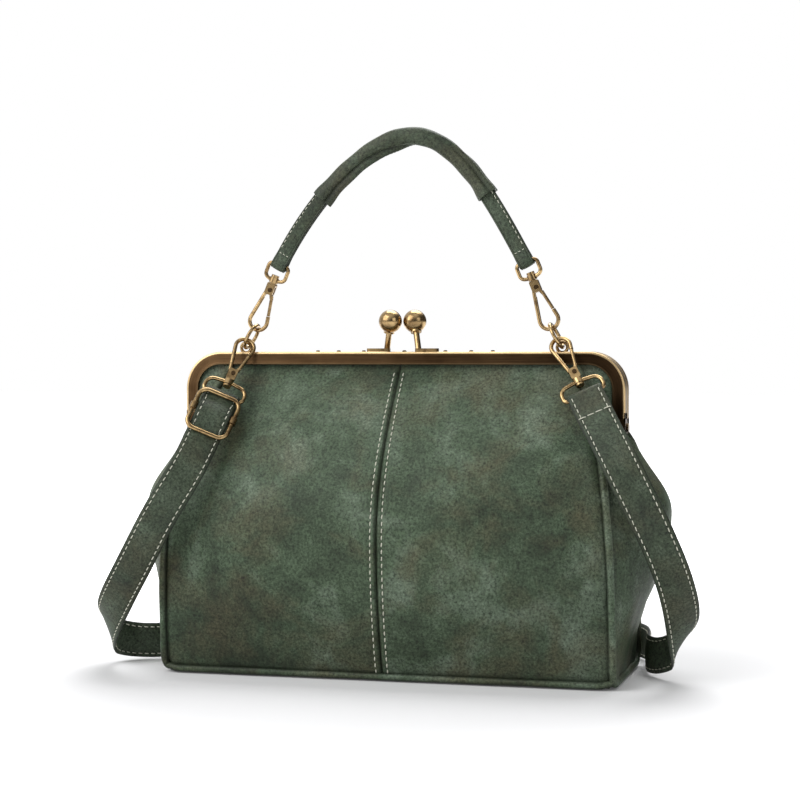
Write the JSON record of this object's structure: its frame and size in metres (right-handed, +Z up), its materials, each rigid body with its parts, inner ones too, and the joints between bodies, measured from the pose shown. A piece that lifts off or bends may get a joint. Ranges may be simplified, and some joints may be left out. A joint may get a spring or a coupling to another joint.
{
  "type": "handbag",
  "caption": "Leather handbag on a hinged metal frame with a two-ball kiss lock, a short top handle on snap hooks and an adjustable shoulder strap",
  "frame": {"origin": "on the floor, under the middle of the bottom panel", "axes": "+Z up, -Y towards the front with the strap hooks, +X to the right seen from the front"},
  "size_m": [0.3427, 0.2007, 0.3072],
  "materials": {
    "leather": "dark mottled green pull-up leather, fine grain, cream stitching",
    "frame_brass": "dark antique brass, brighter on the rounded edges",
    "hardware_brass": "antique brass, worn bright with dark recesses",
    "lining_fabric": "plain woven lining",
    "board": "stiff base board"
  },
  "bodies": {
    "bag": {"front_panel_left": "leather", "front_panel_right": "leather", "back_panel_left": "leather", "back_panel_right": "leather", "left_gusset": "leather", "right_gusset": "leather", "bottom_panel": "leather", "base_board": "board", "left_piping": "leather", "right_piping": "leather", "front_bottom_piping": "leather", "back_bottom_piping": "leather", "lining": "lining_fabric", "hinge_pins": "frame_brass", "shoulder_strap": "leather"},
    "front_frame": {"front_frame_channel": "frame_brass", "front_panel_left_top": "leather", "front_panel_right_top": "leather", "front_clasp_stem": "hardware_brass", "front_clasp_ball": "hardware_brass", "left_eyelet": "frame_brass", "right_eyelet": "frame_brass"},
    "left_strap_set": {"left_strap_loop": "hardware_brass", "left_strap_end": "leather"},
    "right_strap_set": {"right_strap_loop": "hardware_brass", "right_strap_end": "leather"},
    "back_frame": {"back_frame_channel": "frame_brass", "back_panel_left_top": "leather", "back_panel_right_top": "leather", "back_clasp_stem": "hardware_brass", "back_clasp_ball": "hardware_brass", "back_frame_rivets": "frame_brass"},
    "left_link": {"left_link_ring": "hardware_brass"},
    "right_link": {"right_link_ring": "hardware_brass"},
    "handle": {"handle_strap": "leather", "handle_grip": "leather", "left_handle_loop": "hardware_brass", "right_handle_loop": "hardware_brass"},
    "slider": {"slider_frame": "hardware_brass", "slider_bar": "hardware_brass"},
    "left_handle_hook_body": {"left_handle_hook": "hardware_brass", "left_handle_gate_rivet": "hardware_brass"},
    "left_handle_gate_body": {"left_handle_gate": "hardware_brass"},
    "right_handle_hook_body": {"right_handle_hook": "hardware_brass", "right_handle_gate_rivet": "hardware_brass"},
    "right_handle_gate_body": {"right_handle_gate": "hardware_brass"},
    "left_strap_hook_body": {"left_strap_hook": "hardware_brass", "left_strap_gate_rivet": "hardware_brass"},
    "left_strap_gate_body": {"left_strap_gate": "hardware_brass"},
    "right_strap_hook_body": {"right_strap_hook": "hardware_brass", "right_strap_gate_rivet": "hardware_brass"},
    "right_strap_gate_body": {"right_strap_gate": "hardware_brass"}
  },
  "joints": [
    {"name": "front_frame_open", "type": "hinge", "parent": "bag", "child": "front_frame", "pos_m": [0, 0, 0.138], "axis": [1, 0, 0], "range_deg": [0, 30], "deforming": ["left_gusset", "right_gusset", "left_piping", "right_piping", "front_panel_left_top", "front_panel_right_top", "back_panel_left_top", "back_panel_right_top"]},
    {"name": "back_frame_open", "type": "hinge", "parent": "bag", "child": "back_frame", "pos_m": [0, 0, 0.138], "axis": [1, 0, 0], "range_deg": [-30, 0]},
    {"name": "left_strap_hang", "type": "hinge", "parent": "bag", "child": "left_strap_set", "pos_m": [0, 0.02774, 0.07373], "axis": [1, 0, 0], "range_deg": [0, 12.39]},
    {"name": "right_strap_hang", "type": "hinge", "parent": "bag", "child": "right_strap_set", "pos_m": [0, 0.02774, 0.07373], "axis": [1, 0, 0], "range_deg": [0, 12.39], "deforming": ["shoulder_strap"]},
    {"name": "handle_swing", "type": "hinge", "parent": "front_frame", "child": "handle", "pos_m": [0, -0.0038, 0.19282], "axis": [1, 0, 0], "range_deg": [-80, 80]},
    {"name": "left_link_swing", "type": "hinge", "parent": "front_frame", "child": "left_link", "pos_m": [-0.0925, -0.0038, 0.1824], "axis": [0, 1, 0], "range_deg": [-3, 0]},
    {"name": "right_link_swing", "type": "hinge", "parent": "front_frame", "child": "right_link", "pos_m": [0.0925, -0.0038, 0.1824], "axis": [0, 1, 0], "range_deg": [0, 3]},
    {"name": "left_handle_swivel", "type": "hinge", "parent": "handle", "child": "left_handle_hook_body", "pos_m": [-0.0761, -0.0038, 0.21971], "axis": [0.3746, 0, 0.9272], "range_deg": [-8, 8]},
    {"name": "left_handle_gate_open", "type": "hinge", "parent": "left_handle_hook_body", "child": "left_handle_gate_body", "pos_m": [-0.07737, -0.0038, 0.21548], "axis": [0, 1, 0], "range_deg": [0, 16], "stiffness_Nm_per_rad": 0.02, "springref_deg": -20.05},
    {"name": "right_handle_swivel", "type": "hinge", "parent": "handle", "child": "right_handle_hook_body", "pos_m": [0.0761, -0.0038, 0.21971], "axis": [-0.3746, 0, 0.9272], "range_deg": [-8, 8]},
    {"name": "right_handle_gate_open", "type": "hinge", "parent": "right_handle_hook_body", "child": "right_handle_gate_body", "pos_m": [0.07812, -0.0038, 0.21578], "axis": [0, 1, 0], "range_deg": [0, 16], "stiffness_Nm_per_rad": 0.02, "springref_deg": -20.05},
    {"name": "left_strap_swivel", "type": "hinge", "parent": "left_strap_set", "child": "left_strap_hook_body", "pos_m": [-0.09552, -0.02412, 0.1639], "axis": [-0.1849, -0.5848, -0.7898], "range_deg": [-5, 12]},
    {"name": "left_strap_gate_open", "type": "hinge", "parent": "left_strap_hook_body", "child": "left_strap_gate_body", "pos_m": [-0.09435, -0.02145, 0.16722], "axis": [0.4153, -0.7749, 0.4765], "range_deg": [0, 16], "stiffness_Nm_per_rad": 0.02, "springref_deg": -20.05},
    {"name": "right_strap_swivel", "type": "hinge", "parent": "right_strap_set", "child": "right_strap_hook_body", "pos_m": [0.10379, -0.0205, 0.16496], "axis": [0.4701, -0.4601, -0.7532], "range_deg": [-12, 12]},
    {"name": "right_strap_gate_open", "type": "hinge", "parent": "right_strap_hook_body", "child": "right_strap_gate_body", "pos_m": [0.10207, -0.01838, 0.16844], "axis": [0, -0.8534, 0.5213], "range_deg": [0, 16], "stiffness_Nm_per_rad": 0.02, "springref_deg": -20.05},
    {"name": "slider_slide", "type": "slide", "parent": "left_strap_set", "child": "slider", "axis": [-0.1849, -0.5848, -0.7898], "range_m": [0, 0.01], "deforming": ["left_strap_end"]}
  ],
  "couplings": [
    {"joint": "back_frame_open", "follows": "front_frame_open", "ratio": -1},
    {"joint": "left_strap_hang", "follows": "front_frame_open", "ratio": 0.41291},
    {"joint": "right_strap_hang", "follows": "front_frame_open", "ratio": 0.41291}
  ]
}
